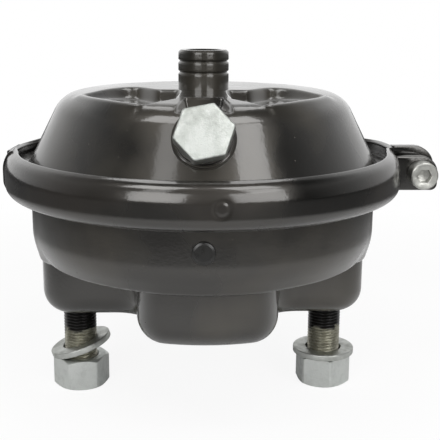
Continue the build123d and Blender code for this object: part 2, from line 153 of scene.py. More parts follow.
# %% Outline helpers
def rounded(corners, radii, steps=7, closed=True):
    """Each corner becomes an arc between the two tangent points at r / tan(angle / 2)."""
    p = np.asarray(corners, float)
    r = np.broadcast_to(np.asarray(radii, float), len(p)).copy()
    back, on = np.roll(p, 1, 0) - p, np.roll(p, -1, 0) - p
    run = np.minimum(np.linalg.norm(back, axis=1), np.linalg.norm(on, axis=1))
    u, w = unit(back), unit(on)
    half = np.arccos(np.clip(np.einsum("ij,ij->i", u, w), -1, 1)) / 2
    if not closed:
        r[[0, -1]] = 0
        half[[0, -1]] = np.pi / 4
    tangent = np.minimum(r / np.tan(half), 0.5 * run)
    r = tangent * np.tan(half)
    centre = p + unit(u + w) * (r / np.sin(half))[:, None]
    start, end = p + u * tangent[:, None] - centre, p + w * tangent[:, None] - centre
    t = np.linspace(0, 1, steps)[None, :, None]
    s = np.maximum(np.pi - 2 * half, 1e-6)[:, None, None]
    arc = (np.sin((1 - t) * s) * start[:, None] + np.sin(t * s) * end[:, None]) / np.sin(s)
    out = centre[:, None] + arc
    keep = [out[i] if r[i] > 1e-6 else p[i:i + 1] for i in range(len(p))]
    return np.vstack(keep)


def even(line, spacing, closed=True):
    """Points along a line so that no gap is longer than spacing; the line's own points stay."""
    ends = np.vstack([line, line[:1]]) if closed else line
    gaps = np.linalg.norm(np.diff(ends, axis=0), axis=1)
    counts = np.maximum(np.ceil(gaps / spacing).astype(int), 1)
    start = np.repeat(np.arange(len(gaps)), counts)
    share = np.arange(counts.sum()) - np.repeat(np.cumsum(counts) - counts, counts)
    share = (share / np.repeat(counts, counts))[:, None]
    dense = ends[start] * (1 - share) + ends[start + 1] * share
    return dense if closed else np.vstack([dense, line[-1:]])


def lathe(name, line, dress, steps=128, place=None, sharp=32.0):
    """Closed outline (radius, height) carried round Z: x = r cos a, y = r sin a, z = height."""
    a = np.arange(steps) * TURN / steps
    points = polar(line[:, :1], a, line[:, 1:])
    if place is not None:
        points = set_on(place, points)
    return make_piece(name, points, grid_faces(len(line), steps, True, True), dress, sharp)


def set_on(place, points):
    """Points drawn on Z carried onto a frame given as (origin, three unit rows x, y, z)."""
    origin, axes = place
    return points @ np.asarray(axes) + np.asarray(origin)


# %% [markdown]
# ## The chamber's own sizes
#
# These are the sizes of the drawing that the shapes share. The line of the front features
# is turned a little from straight ahead, as it is on the real chamber.

# %% Shared sizes
JOINT = 65.1  # height of the joint between the two shells
BAND_R, LIP_R, BAND_H = 92.38, 85.6, 10.1  # band: outer radius, radius of its lips, half height
LEG_SLOPE = np.radians(25.0)  # fall of the band's legs towards their outer bend
WALL = 3.0  # sheet of both shells and of the band
SEAT_GAP = 0.15  # between the lower flange and the band's leg
HALF_RUBBER = 1.5  # half of the diaphragm's edge, which lies between the two flanges
CAP_TOP = 102.5  # height of the flat top
CAP_BASE = 83.2  # radius of the leaning wall's line at the joint
LEAN = np.radians(27.0)  # of the upper wall from upright
FRONT = np.radians(268.7)  # direction of the port, the pockets and the front vent
STUD_X = 60.325  # half of the studs' spacing


def cap_line(height):
    """Radius of the upper shell's leaning wall at a height."""
    return CAP_BASE - (height - JOINT) * np.tan(LEAN)


def leg_inside(radius):
    """Inner face of the band's sloping leg above the joint."""
    return BAND_H - WALL / np.cos(LEG_SLOPE) - (radius - LIP_R) * np.tan(LEG_SLOPE)


def smooth_step(t):
    """3 t^2 - 2 t^3 between 0 and 1."""
    t = np.clip(t, 0, 1)
    return t * t * (3 - 2 * t)


# %% [markdown]
# ## Finishing a piece
#
# Each piece rides on a CAD body and hides the plain solids that it stands for, so that the
# motion and the picture agree.
# Every call that makes a piece gives these as its dress: body, nodes, and a coat, which
# is a slot and a material.

# %% Finish helper
def finish(piece, body, nodes, coat):
    """Ride on a body (None for no body), replace nodes, set the material; the coat's slot is not used."""
    slot, material = coat
    piece.data.materials.clear()
    piece.data.materials.append(material)
    if body is not None:
        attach(piece, body)
    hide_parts(*nodes)


def place_on(origin, out):
    """Frame at origin whose own z looks along out and whose own x is level."""
    z = unit(np.asarray(out, float))
    x = unit(np.cross((0, 0, 1), z))
    return np.asarray(origin, float), np.array([x, np.cross(z, x), z])


# %% [markdown]
# ## Materials: colour and node helpers
#
# Colours are written as the sRGB hex values one would pick, and one function turns them
# into the linear light values that the renderer works with. One more function adds a
# shader node with its settings and its links.

# %% Colour and node helpers
def linear(code):
    """sRGB hex to linear: ((c + 0.055) / 1.055) ^ 2.4, or c / 12.92 near black."""
    c = np.array([int(code[i:i + 2], 16) / 255 for i in (1, 3, 5)])
    c = np.where(c > 0.04045, ((c + 0.055) / 1.055) ** 2.4, c / 12.92)
    return (*c, 1.0)


def add(tree, kind, sockets=None, **settings):
    """A new node of that kind; sockets maps an input to a value or to a socket to link."""
    node = tree.nodes.new("ShaderNode" + kind)
    for key, value in settings.items():
        setattr(node, key, value)
    for key, value in (sockets or {}).items():
        if isinstance(value, bpy.types.NodeSocket):
            tree.links.new(value, node.inputs[key])
        else:
            node.inputs[key].default_value = value
    return node


def empty_tree(owner):
    """The node tree of a material or a world, emptied."""
    owner.use_nodes = True
    owner.node_tree.nodes.clear()
    return owner.node_tree


def new_material(name):
    """Material with its node tree, Principled shader and object coordinates."""
    material = bpy.data.materials.new(name)
    tree = empty_tree(material)
    shader = add(tree, "BsdfPrincipled")
    add(tree, "OutputMaterial", {"Surface": shader.outputs[0]})
    return material, tree, shader, add(tree, "TexCoord").outputs["Object"]


def wire(tree, shader, colour, rough, normal):
    """Link a colour, a roughness and a normal to the Principled shader."""
    for name, socket in (("Base Color", colour), ("Roughness", rough), ("Normal", normal)):
        tree.links.new(socket, shader.inputs[name])


def noise(tree, where, scale, detail, **more):
    """Value of a noise that repeats about scale times per metre."""
    sockets = {"Vector": where, "Scale": scale, "Detail": detail} | more
    return add(tree, "TexNoise", sockets).outputs[0]


def calc(tree, first, operation, second, **more):
    """One Math node on two values or sockets."""
    return add(tree, "Math", {0: first, 1: second}, operation=operation, **more).outputs[0]


def bump(tree, height, strength, distance, **more):
    """Normal of a surface raised by the height; distance in metres."""
    sockets = {"Height": height, "Strength": strength, "Distance": distance} | more
    return add(tree, "Bump", sockets).outputs[0]


def mixed(tree, share, first, second):
    """Colour between two hex colours or sockets by a share."""
    node = add(tree, "Mix", {0: share}, data_type="RGBA")
    for socket, value in ((6, first), (7, second)):
        if isinstance(value, str):
            node.inputs[socket].default_value = linear(value)
        else:
            tree.links.new(value, node.inputs[socket])
    return node.outputs[2]


def spread(tree, value, low, high, to_low=0.0, to_high=1.0):
    """Map Range from low..high to to_low..to_high, clamped."""
    return add(tree, "MapRange", {0: value, 1: low, 2: high, 3: to_low, 4: to_high}).outputs[0]


# %% [markdown]
# ## Black stoving enamel
#
# Both shells and the clamp band are dipped in black enamel and baked. It is nearly black,
# but its clear gloss mirrors the room, so what the eye reads is mostly reflection. Four
# things keep it from looking like plastic: a very shallow orange peel a millimetre or two
# across, slow waves where the paint ran, soft brownish patches where the gloss is duller,
# and dust specks.

# %% Enamel
def enamel(name, dark="#0c0c0b", warm="#2a2721", gloss=0.2, peel=0.3, sag=0.32, dust=0.5):
    """Near-black gloss paint; gloss is its roughness, peel and sag the strength of its bumps."""
    material, tree, shader, where = new_material(name)
    patches = noise(tree, where, 22.0, 3.0)
    wave = noise(tree, where, 38.0, 1.5)
    fine = noise(tree, where, 760.0, 2.0)
    cells = add(tree, "TexVoronoi", {"Vector": where, "Scale": 310.0})
    near = spread(tree, cells.outputs["Distance"], 0.06, 0.13, 1.0, 0.0)
    luck = add(tree, "SeparateColor", {0: cells.outputs["Color"]}).outputs[0]
    speck = calc(tree, near, "MULTIPLY", spread(tree, luck, 0.92, 0.94, 0.0, dust))
    ground = mixed(tree, spread(tree, patches, 0.44, 0.64), dark, warm)
    rough = calc(tree, spread(tree, patches, 0.38, 0.62, gloss, gloss + 0.2), "ADD", speck)
    skin = bump(tree, fine, peel, 0.0001, Normal=bump(tree, wave, sag, 0.0008))
    wire(tree, shader, mixed(tree, speck, ground, "#4c4842"), rough, skin)
    tree.links.new(skin, shader.inputs["Coat Normal"])
    for socket, value in (("IOR", 1.5), ("Specular Tint", linear("#fff9f0")), ("Coat Weight", 1.0),
                          ("Coat Roughness", 0.1), ("Coat IOR", 1.5)):
        shader.inputs[socket].default_value = value
    return material


HOUSING = ("housing_paint", enamel("black_stoved_enamel_shells"))
BAND = ("band_paint", enamel("black_stoved_enamel_band", warm="#1b1815", gloss=0.18, peel=0.25, sag=0.2))
STUB = ("stub_paint", enamel("thin_black_enamel_over_turning", dark="#171714", gloss=0.24, peel=0.2,
                             sag=0.1, dust=0.2))

# %% [markdown]
# ## Plated and bare steels
#
# The plug, nuts and washers are zinc plated: a pale metal whose satin comes from the
# rolled or forged blank under the thin plating. The band's screw is a darker zinc flake
# grey, and the inner parts are bare or phosphated steel. An even metal would mirror like
# chrome, so stains change its colour and its roughness, and fine pits break up what it
# reflects.

# %% Steels
def plated(name, pale, dull, rough=0.42, grain=0.35):
    """Metal with soft stains, fine pits and a cloudy satin; grain is the strength of its bump."""
    material, tree, shader, where = new_material(name)
    stains = noise(tree, where, 260.0, 6.0, Roughness=0.6)
    clouds = noise(tree, where, 70.0, 2.0)
    pits = noise(tree, where, 1400.0, 3.0)
    both = calc(tree, stains, "MULTIPLY", clouds)
    colour = mixed(tree, spread(tree, both, 0.2, 0.42), pale, dull)
    uneven = spread(tree, stains, 0.3, 0.7, rough - 0.08, rough + 0.12)
    wire(tree, shader, colour, uneven, bump(tree, calc(tree, stains, "ADD", pits), grain, 0.0003))
    shader.inputs["Metallic"].default_value = 1.0
    return material


# Painted shade: the plug shares the nuts' and washers' zinc, but its colour is written darker to hold down
# the soft boxes' glare on its face.
PLUG = ("zinc_steel", plated("forged_steel_zinc_darkened_as_painted_shade", "#babdb9", "#9ea19c", rough=0.46, grain=0.6))
# Painted light: the nuts' zinc is written lighter than the plug's and washers' so that they show brighter
# under this light.
NUT = ("zinc_steel", plated("cold_formed_steel_zinc_lightened_as_painted_light", "#dcdfdc", "#c6c9c6"))
WASHER = ("zinc_steel", plated("rolled_steel_zinc_washer", "#c4c6c2", "#a6a8a3", grain=0.25))
SCREW = ("screw_steel", plated("zinc_flake_screw", "#b7b7b2", "#8f8e89", rough=0.4))
INNER = ("inner_steel", plated("mild_steel_inner", "#9a9a98", "#6d6d6b"))
SPRING = ("spring_steel", plated("phosphated_spring_wire", "#34353a", "#1e1f22", rough=0.4))
SEAL = ("seal_metal", plated("dark_seal_ring", "#3b3a38", "#222120", rough=0.35, grain=0.15))

# %% [markdown]
# ## Studs: half painted, half bare
#
# The enamel ran over the upper threads while the lower ones were masked by nut and
# washer, so the finish changes at a ragged line part of the way down. That needs no
# painted picture: the height of each point plus a little noise gives the line.

# %% Stud finish
PAINT_LINE = -0.0145  # metres, height at which the paint ends


def stud_finish(name):
    """Bare olive-grey thread below a ragged line, black paint above it."""
    material, tree, shader, where = new_material(name)
    height = add(tree, "SeparateXYZ", {0: where}).outputs[2]
    shift = spread(tree, noise(tree, where, 160.0, 4.0), 0.25, 0.75, -0.0035, 0.0035)
    level = calc(tree, height, "ADD", shift)
    painted = spread(tree, level, PAINT_LINE - 0.0006, PAINT_LINE + 0.0006)
    stains = noise(tree, where, 420.0, 5.0)
    bare = mixed(tree, spread(tree, stains, 0.3, 0.7), "#b9b7a8", "#838174")
    wire(tree, shader, mixed(tree, painted, bare, "#131211"),
         spread(tree, painted, 0.0, 1.0, 0.42, 0.28), bump(tree, stains, 0.25, 0.0002))
    metal = calc(tree, 0.85, "SUBTRACT", painted, use_clamp=True)
    tree.links.new(metal, shader.inputs["Metallic"])
    return material


STUD = ("stud_steel", stud_finish("half_painted_stud_steel"))

# %% [markdown]
# ## Rubber and moulded plastic
#
# The boot and the diaphragm are moulded rubber, matt with a faint bloom, and the vent
# plugs are black nylon, smoother and a little glossier. A plain dark colour would look
# like a hole in the picture, so a fine bump and paler patches show the surface.

# %% Rubber and plastic
def moulded(name, dark, pale, rough, scale=900.0, strength=0.25):
    """Dull black with a fine grain and a pale bloom in patches."""
    material, tree, shader, where = new_material(name)
    grain = noise(tree, where, scale, 4.0)
    bloom = noise(tree, where, 45.0, 3.0)
    colour = mixed(tree, spread(tree, bloom, 0.4, 0.8), dark, pale)
    uneven = spread(tree, grain, 0.3, 0.7, rough - 0.06, rough + 0.08)
    wire(tree, shader, colour, uneven, bump(tree, grain, strength, 0.0002))
    return material


BOOT = ("boot_rubber", moulded("moulded_rubber_boot", "#161616", "#2a2927", 0.6))
DIAPHRAGM = ("diaphragm_rubber", moulded("moulded_rubber_diaphragm", "#191919", "#2c2b29", 0.65))
VENT = ("vent_plastic", moulded("moulded_black_nylon", "#131312", "#23221f", 0.3, scale=500.0, strength=0.12))

# %% [markdown]
# ## Upper shell
#
# The pressure housing is one deep-drawn disc: flat top, wide shoulder, leaning wall and
# a flat flange under the band. Two pockets are pressed into the top beside the side port
# and a notch cuts the ridge between them. A lathe alone can't make those, so the profile
# is turned first, and then every point near the top sinks by an amount that depends on
# where it lies in plan: full depth inside a pocket's outline, none outside, and a smooth
# step across the pocket's wall. The same sinking is used for the underside, so the sheet
# keeps its thickness.

# %% Upper shell profile
SHOULDER = 2.0  # drop from the flat top to the corner where the wall begins
LEVEL_WALL = 3.37  # thickness of the leaning wall, measured level
flange_r, flange_top, flange_foot = BAND_R - WALL - 0.5, JOINT + 3.5, JOINT + HALF_RUBBER
edge_z, under_z = CAP_TOP - SHOULDER, CAP_TOP - WALL
outer_line = rounded([(11.75, CAP_TOP), (44.0, CAP_TOP), (cap_line(edge_z), edge_z),
                      (cap_line(flange_top), flange_top), (flange_r, flange_top), (flange_r, flange_foot)],
                     [0, 90, 14, 1.5, 0.8, 0], steps=16, closed=False)
inner_line = rounded([(flange_r, flange_foot), (cap_line(flange_foot) - LEVEL_WALL, flange_foot),
                      (cap_line(under_z - SHOULDER) - LEVEL_WALL, under_z - SHOULDER),
                      (44.0, under_z), (11.75, under_z)], [0, 0, 15, 90, 0], steps=10, closed=False)
outer_line = even(outer_line, 0.62, closed=False)
shell_line = np.vstack([outer_line, even(inner_line, 2.2, closed=False)[1:]])
print("upper shell rows", len(shell_line))


# %% Pockets and notch
PRESSED_R = 70.0  # nothing is pressed outside this radius


def corner_blend(distances, radius):
    """Signed distance to where all given distances are negative, with corners of that radius."""
    q = np.stack(distances) + radius
    return np.linalg.norm(np.maximum(q, 0), axis=0) + np.minimum(q.max(0), 0) - radius


def pocket_back(px):
    """Far border of a pocket: it swings back beside the stub, then forward to the tip."""
    return -6.5 + 12.5 * smooth_step((px - 19) / 13) - 25.5 * smooth_step((px - 33) / 26)


def sink(x, y, z):
    """New height: inside a pocket or the notch the sheet sinks to that form's floor."""
    # px is the distance from the plane through axis and port, py runs away from the port.
    # ridge, behind and beyond are a pocket's inner, far and outer border.
    turn = -(FRONT - np.radians(270))
    px = np.abs(x * np.cos(turn) - y * np.sin(turn))
    py = x * np.sin(turn) + y * np.cos(turn)
    away = np.hypot(px, py)
    around = np.degrees(np.arctan2(-py, px))
    beyond = away - np.interp(around, [0, 15, 45, 75], [58.0, 58.6, 59.6, 62.6])
    ridge = 9.6 + 0.05 * np.maximum(-16.0 - py, 0) + 1.0 * np.maximum(-45.5 - py, 0)
    behind = 0.8 * (py - pocket_back(px))
    pocket = corner_blend([behind / 8.0, (ridge - px) / 4.6, beyond / 4.4], 0.8)
    rim = 0.85 * np.exp(-((beyond - 1.5) / 2.6) ** 2) * smooth_step((px - ridge) / 5)
    z = z + rim * smooth_step(-behind / 8) * smooth_step((away - 47) / 6)
    floor = 97.0 + 2.4 * smooth_step((px - 24) / 34)
    z = z - smooth_step(-pocket) * np.maximum(z - floor, 0)
    half = 8.6 + 0.2 * np.maximum(-45.0 - py, 0)
    notch = corner_blend([(py + 43.4) / 2.0, (px - half) / 1.9], 0.7)
    return z - smooth_step(-notch) * np.maximum(z - 98.0, 0)


columns = np.radians(np.concatenate([np.linspace(0, 178, 110), np.linspace(180, 357.5, 400)]))
r, h = shell_line[:, 0:1], shell_line[:, 1:2]
x, y = r * np.cos(columns), r * np.sin(columns)
z = h + 0 * x
upper = np.arange(len(shell_line))[:, None] < len(outer_line)
sunk = np.where(upper, sink(x, y, z), sink(x, y, z + WALL) - WALL)
z = np.where(r < PRESSED_R, sunk, z)
shell_points = np.stack([x, y, z], -1).reshape(-1, 3)
make_piece("upper_shell", shell_points, grid_faces(len(shell_line), len(columns), True, True),
           ("chamber", ["pressure_housing"], HOUSING), sharp=50)

# %% [markdown]
# ## Lower shell
#
# The mounting housing is a bowl with a cross-shaped pad pressed out of its floor: two
# wings carry the studs and two lobes lie across them. The pad's outline is a union of two
# rounded bars, given as a signed distance. Its radius in each direction is found by
# halving an interval, for all directions at once. The bowl's profile and the pad's radius
# are joined with a soft maximum, which leaves the small fillet that a press leaves.

# %% Pad outline
WING, WING_HALF, LOBE, LOBE_HALF = 76.8, 30.0, 73.6, 30.6


def bar(along, across, reach, half):
    """Signed distance to a bar with a round end at reach and rounded corners."""
    return corner_blend([np.hypot(along, across) - reach, np.abs(across) - half], 12.0)


def pad_distance(x, y, fillet=12.0):
    """Union of the wings and the lobes with a round inner corner."""
    a = bar(x, y, WING, WING_HALF)
    b = bar(y, x - 0.7, LOBE, LOBE_HALF)
    u, v = np.maximum(fillet - a, 0), np.maximum(fillet - b, 0)
    return np.maximum(fillet, np.minimum(a, b)) - np.hypot(u, v)


def pad_radius(angle, inset):
    """Radius where the distance equals minus the inset, by halving 20..90 mm 30 times."""
    shape = np.broadcast(angle, inset).shape
    low, high = np.full(shape, 20.0), np.full(shape, 90.0)
    for _ in range(30):
        middle = (low + high) / 2
        inside = pad_distance(middle * np.cos(angle), middle * np.sin(angle)) < -inset
        low, high = np.where(inside, middle, low), np.where(inside, high, middle)
    return low


def soft_max(a, b, reach):
    """Larger of a and b, with a round join over reach."""
    return np.maximum(a, b) + np.maximum(reach - np.abs(a - b), 0) ** 2 / (4 * reach)


# %% Lower shell surfaces
BOWL_R, KNEE, FLOOR = 80.2, 34.0, 25.0  # bowl: radius, height where it turns in, height of its floor
BOWL_LEAN = np.radians(28.0)
PILOT = 27.0  # radius of the hole round the rod


def seat(radius):
    """Height at which the lower flange lies just clear of the band's leg."""
    return JOINT - leg_inside(radius) + SEAT_GAP


def bowl_rows(inset, spacing):
    """Bowl profile from the mouth down the wall, round the knee and in along the floor."""
    knee = KNEE + inset * np.tan(BOWL_LEAN / 2)
    floor = FLOOR + inset
    side = BOWL_R - (KNEE - floor) * np.tan(BOWL_LEAN) - inset / np.cos(BOWL_LEAN)
    top = seat(BOWL_R) if inset == 0 else JOINT - HALF_RUBBER
    line = rounded([(BOWL_R - inset, top), (BOWL_R - inset, knee), (side, floor), (38.0, floor - 1.2)],
                   [0, 32 - inset, 3.5, 0], steps=14, closed=False)
    return even(line, spacing, closed=False)


def pad_rows(inset, count):
    """Heights and edge insets of the pad: straight side, then a quarter round to the base."""
    bend = 10.0 - inset
    turn = np.radians(np.linspace(0, 90, count))
    straight = np.linspace(FLOOR + inset - 1.6, bend + inset + 0.4, count)
    z = np.concatenate([straight, bend + inset - bend * np.sin(turn)])
    edge = np.concatenate([np.full(count, 0.0), bend * (1 - np.cos(turn))]) + inset
    return z, edge


def lower_surface(angles, inset, spacing, count):
    """Rows x columns of radius and height: bowl, pad side, pad base up to the pilot hole."""
    bowl = bowl_rows(inset, spacing)
    outline = pad_radius(angles, np.full(angles.shape, inset))
    radius = soft_max(bowl[:, :1], outline[None, :], 7.0)
    z, edge = pad_rows(inset, count)
    side = pad_radius(angles[None, :], edge[:, None])
    inward = np.linspace(0, 1, 12)[1:, None]
    base = side[-1] * (1 - inward) + PILOT * inward
    radius = np.vstack([radius, side, base])
    height = np.vstack([bowl[:, 1:], z[:, None], np.full((len(base), 1), inset)])
    return radius, height + 0 * angles


lower_angles = np.radians(np.arange(0, 360, 0.8))
out_r, out_z = lower_surface(lower_angles, 0.0, 1.2, 12)
in_r, in_z = lower_surface(lower_angles, WALL, 2.5, 6)
flange = rounded([(78.0, JOINT - HALF_RUBBER), (flange_r, JOINT - HALF_RUBBER),
                  (flange_r, seat(flange_r)), (BOWL_R, seat(BOWL_R))], [0, 0, 3, 0], closed=False)
flange = even(flange, 1.5, closed=False)[:-1]
rim_r, rim_z = flange[:, :1] + 0 * lower_angles, flange[:, 1:] + 0 * lower_angles
all_r = np.vstack([rim_r, out_r, in_r[::-1]])
all_z = np.vstack([rim_z, out_z, in_z[::-1]])
print("lower shell grid", all_r.shape)

# %% [markdown]
# ### The open vent
#
# One vent is left open on the left. The grid is a rectangle of rows and columns there, so
# the hole is made by squeezing square rings of points into circles, and then leaving out
# the faces inside the smallest ring. The same is done to the inner wall, and a short
# tube of triangles bridges the two rims.

# %% Vent hole
VENT_Z, VENT_R = 44.4, 4.0


def squeeze(radius, height, centre_angle):
    """Near the vent, move points from square rings onto circles, fading out further away."""
    u = (lower_angles[None, :] - centre_angle) * BOWL_R
    v = height - VENT_Z
    ring = np.maximum(np.abs(u), np.abs(v))
    away = np.hypot(u, v) + 1e-9
    share = smooth_step((11.0 - ring) / 5.0) * (np.abs(radius - BOWL_R) < 4.5)
    factor = 1 + share * (ring / away - 1)
    return centre_angle + u * factor / BOWL_R, VENT_Z + v * factor, ring * (share > 0.5) + 99 * (share <= 0.5)


vent_angle, vent_height, ring = squeeze(all_r, all_z, np.pi)
hole = ring < VENT_R + 0.35
rows, cols = all_r.shape
faces = np.array(grid_faces(rows, cols, True, True))
faces = faces[~hole.reshape(-1)[faces].all(1)]


def hole_rim(first_row, last_row):
    """Point numbers round the left-out block between two rows, by angle round the hole."""
    spots = np.argwhere(hole[first_row:last_row]) + [first_row, 0]
    (top, left), (bottom, right) = spots.min(0), spots.max(0)
    block = np.arange(rows * cols).reshape(rows, cols)[top:bottom + 1, left:right + 1]
    loop = np.unique(np.concatenate([block[0], block[-1], block[:, 0], block[:, -1]]))
    u, v = vent_angle.reshape(-1)[loop] - np.pi, vent_height.reshape(-1)[loop] - VENT_Z
    return loop[np.argsort(np.arctan2(v / BOWL_R, u))]


def bridge(first, second):
    """Triangles between two loops ordered by angle, each step on the loop that lags behind."""
    ends = [np.arange(1, len(first) + 1) / len(first), np.arange(1, len(second) + 1) / len(second) - 1e-9]
    steps = np.sort(np.concatenate(ends))
    i, j = (np.concatenate([[0], np.searchsorted(end, steps, side="right")]) for end in ends)
    p, q = np.append(first, first[0]), np.append(second, second[0])
    return np.array([[p[a], q[b], p[c]] if c > a else [p[a], q[b], q[d]]
                     for a, b, c, d in zip(i[:-1], j[:-1], i[1:], j[1:])]).tolist()


outer_rim = hole_rim(0, len(rim_r) + len(out_r))
inner_rim = hole_rim(len(rim_r) + len(out_r), rows)
print("vent rims", len(outer_rim), len(inner_rim))
low_points = polar(all_r, vent_angle, vent_height)
make_piece("lower_shell", low_points, faces.tolist() + bridge(outer_rim, inner_rim),
           ("chamber", ["mounting_housing"], HOUSING), sharp=50)

# %% [markdown]
# ## Clamp band
#
# The band is a rolled channel, cut into two halves. Its section is a closed rounded
# outline and each half is that outline carried along an arc. Near its ends the channel
# opens into a flat strip. A shallow groove in the shape of a ring marks the small pressed
# pip on the front half, and columns of the grid crowd together there to keep it round.

# %% Band section
def arc(centre, radius, start, end, steps=12):
    """Points centre + radius (cos t, sin t) from start to end degrees."""
    t = np.radians(np.linspace(start, end, steps))
    return np.stack([centre[0] + radius * np.cos(t), centre[1] + radius * np.sin(t)], 1)


BULGE, BULGE_END = 12.0, 28.0  # radius of the wall's bulge and the angle where it ends
BEND = 6.0  # outer radius of the bends above and below it
LEG_WALL = 3.31  # thickness of a sloping leg, measured upright
bulge = arc((BAND_R - BULGE, 0.75), BULGE, 0, BULGE_END, 16)
meeting = np.array([np.cos(np.radians(BULGE_END)), np.sin(np.radians(BULGE_END))])
turned_in = arc(bulge[-1] - BEND * meeting, BEND, BULGE_END, 65)[1:]
under = arc((BAND_R - BEND, -4.2), BEND, -65, 0)
drop = np.tan(LEG_SLOPE)
upper_lip = turned_in[-1] + (turned_in[-1][0] - LIP_R) * np.array([-1, drop])
lower_lip = under[0] + (under[0][0] - LIP_R) * np.array([-1, -drop])
web_r = BAND_R - WALL
inside = [(LIP_R, lower_lip[1] + LEG_WALL), (web_r, -leg_inside(web_r)), (web_r, leg_inside(web_r)),
          (LIP_R, upper_lip[1] - LEG_WALL)]
corners = np.vstack([under, bulge, turned_in, upper_lip[None], inside[::-1], lower_lip[None]])
bends = [0] * (len(under) + len(bulge) + len(turned_in)) + [1.3, 1.0, 3.0, 3.0, 1.0, 1.3]
band_line = even(rounded(corners, bends, steps=7) + [0, JOINT], 0.8)
print("band section points", len(band_line))


def along_outside(points):
    """Distance from the section's outside and length along it, by the nearest segment."""
    line = even(np.vstack([lower_lip[None], under, bulge, turned_in, upper_lip[None]]), 0.3, closed=False)
    length = np.concatenate([[0], np.cumsum(np.linalg.norm(np.diff(line, axis=0), axis=1))])
    a, d = line[:-1], np.diff(line, axis=0)
    t = np.einsum("psj,sj->ps", points[:, None] - a, d) / np.einsum("sj,sj->s", d, d)
    t = np.clip(t, 0, 1)
    gap = np.linalg.norm(points[:, None] - a - t[..., None] * d, axis=2)
    best = gap.argmin(1)
    pick = np.arange(len(points))
    where = length[best] + t[pick, best] * np.diff(length)[best]
    return gap[pick, best], 2 * where / length[-1] - 1


PIP_R, GROOVE = 3.1, 0.22  # radius of the pip's ring, depth of its groove


def band_half(angles, flat, half_height=9.9, pip_at=None):
    """Section carried over the angles; flat (0..1) opens it into a strip of that half height (mm)."""
    r, z = band_line[:, :1] + 0 * angles, band_line[:, 1:] + 0 * angles
    depth, share = along_outside(band_line - [0, JOINT])
    r = r + flat * (BAND_R - depth[:, None] - r)
    z = z + flat * (JOINT + half_height * share[:, None] - z)
    if pip_at is not None:
        away = np.hypot((angles - pip_at[0]) * BAND_R, z - pip_at[1])
        groove = GROOVE * np.exp(-((away - PIP_R) / 0.9) ** 2)
        r = r - np.where(r > BAND_R - 1.5, groove, 0)
    return polar(r, angles, z), bar_faces(*r.shape)


# %% [markdown]
# ### Ears and hook
#
# On the right each half ends in an ear that the screw pulls together. An ear is a plate
# cut from sheet: an outline in the XZ plane with rounded corners, given thickness in Y
# with a small broken edge. On the left a thin tongue on the rear half hooks over the
# front half.

# %% Ear plates
def plate(outline, front, back, edge=0.5):
    """Rows inset by the broken edge at each face, with flat caps."""
    ahead = unit(np.roll(outline, -1, 0) - np.roll(outline, 1, 0))
    inward = np.stack([-ahead[:, 1], ahead[:, 0]], 1)
    middle = outline.mean(0)
    if np.einsum("ij,ij->", inward, middle - outline) < 0:
        inward = -inward
    turn = np.radians(np.linspace(0, 90, 5))
    inset = np.concatenate([edge * (1 - np.sin(turn)), edge * (1 - np.cos(turn))])
    depth = np.concatenate([front + edge * (1 - np.cos(turn)), back - edge * (1 - np.sin(turn))])
    loop = outline[None] + inward[None] * inset[:, None, None]
    points = np.stack([loop[..., 0], depth[:, None] + 0 * loop[..., 0], loop[..., 1]], -1)
    return points.reshape(-1, 3), tube_faces(*points.shape[:2])


EAR, EAR_GAP, EAR_REACH = 5.0, 1.5, 19.0  # thickness, half of the gap between the ears, length


def ear_outline(rise):
    """Rounded ear seen from the front, from the band's wall out to its free end."""
    foot, top, left, right = JOINT - BAND_H, JOINT + rise, BAND_R - 1.5, BAND_R + EAR_REACH
    corners = [(left, foot), (right, foot), (right, top), (left, top)]
    return even(rounded(corners, [0, 3, 12, 0], steps=14), 1.5)


def join(parts):
    """Several (points, faces) as one, each set of faces turned outwards first."""
    points, faces, first = [], [], 0
    for part_points, part_faces in parts:
        if enclosed_volume(part_points, part_faces) < 0:
            part_faces = [face[::-1] for face in part_faces]
        faces += [[first + i for i in face] for face in part_faces]
        points.append(part_points)
        first += len(part_points)
    return np.vstack(points), faces


PIP = 273.0  # direction of the pip in degrees
ear_angle = np.degrees(EAR_GAP / (LIP_R - WALL))
front_angles = np.concatenate([np.linspace(180.19, 360 - ear_angle, 330), PIP + np.linspace(-3.4, 3.4, 35)])
front_angles = np.radians(np.unique(np.round(front_angles, 4)))
to_end = np.minimum(front_angles - np.pi, TURN - front_angles)
opened = 0.28 * smooth_step((np.radians(9) - to_end) / np.radians(9))
points, faces = join([band_half(front_angles, opened, pip_at=(np.radians(PIP), JOINT - 0.4)),
                      plate(ear_outline(6.2), -EAR_GAP - EAR, -EAR_GAP)])
make_piece("band_front", points, faces, ("chamber", ["clamp_ring_front"], BAND), sharp=40)

# %% Rear half with ear and hook
rear_angles = np.radians(np.linspace(ear_angle, 179.81, 300))
to_end = np.minimum(rear_angles, np.pi - rear_angles)
opened = smooth_step((np.radians(27) - to_end) / np.radians(14))
wall_line = np.vstack([under[3:], bulge, turned_in])
ahead = unit(np.gradient(wall_line, axis=0))
out_way = np.stack([ahead[:, 1], -ahead[:, 0]], 1)
hook_line = np.vstack([wall_line + 0.85 * out_way, (wall_line + 0.08 * out_way)[::-1]])
hook = even(hook_line + [0, JOINT], 1.0)
hook_angles = np.radians(np.linspace(174, 187, 40))
rise = np.where(rear_angles < 1.5, 9.9, 8.4)
points, faces = join([band_half(rear_angles, opened, rise),
                      plate(ear_outline(BAND_H), EAR_GAP, EAR_GAP + EAR),
                      (polar(hook[:, :1], hook_angles, hook[:, 1:]), bar_faces(len(hook), len(hook_angles)))])
make_piece("band_rear", points, faces, ("chamber", ["clamp_ring_rear"], BAND), sharp=40)

# %% [markdown]
# ## Air inlet stub
#
# A turned steel stub with two V grooves, broken edges and a plain bore. It could be a
# cylinder with loops cut in, but one outline carried round the axis gives the grooves,
# the edges and the bore as a single closed mesh.

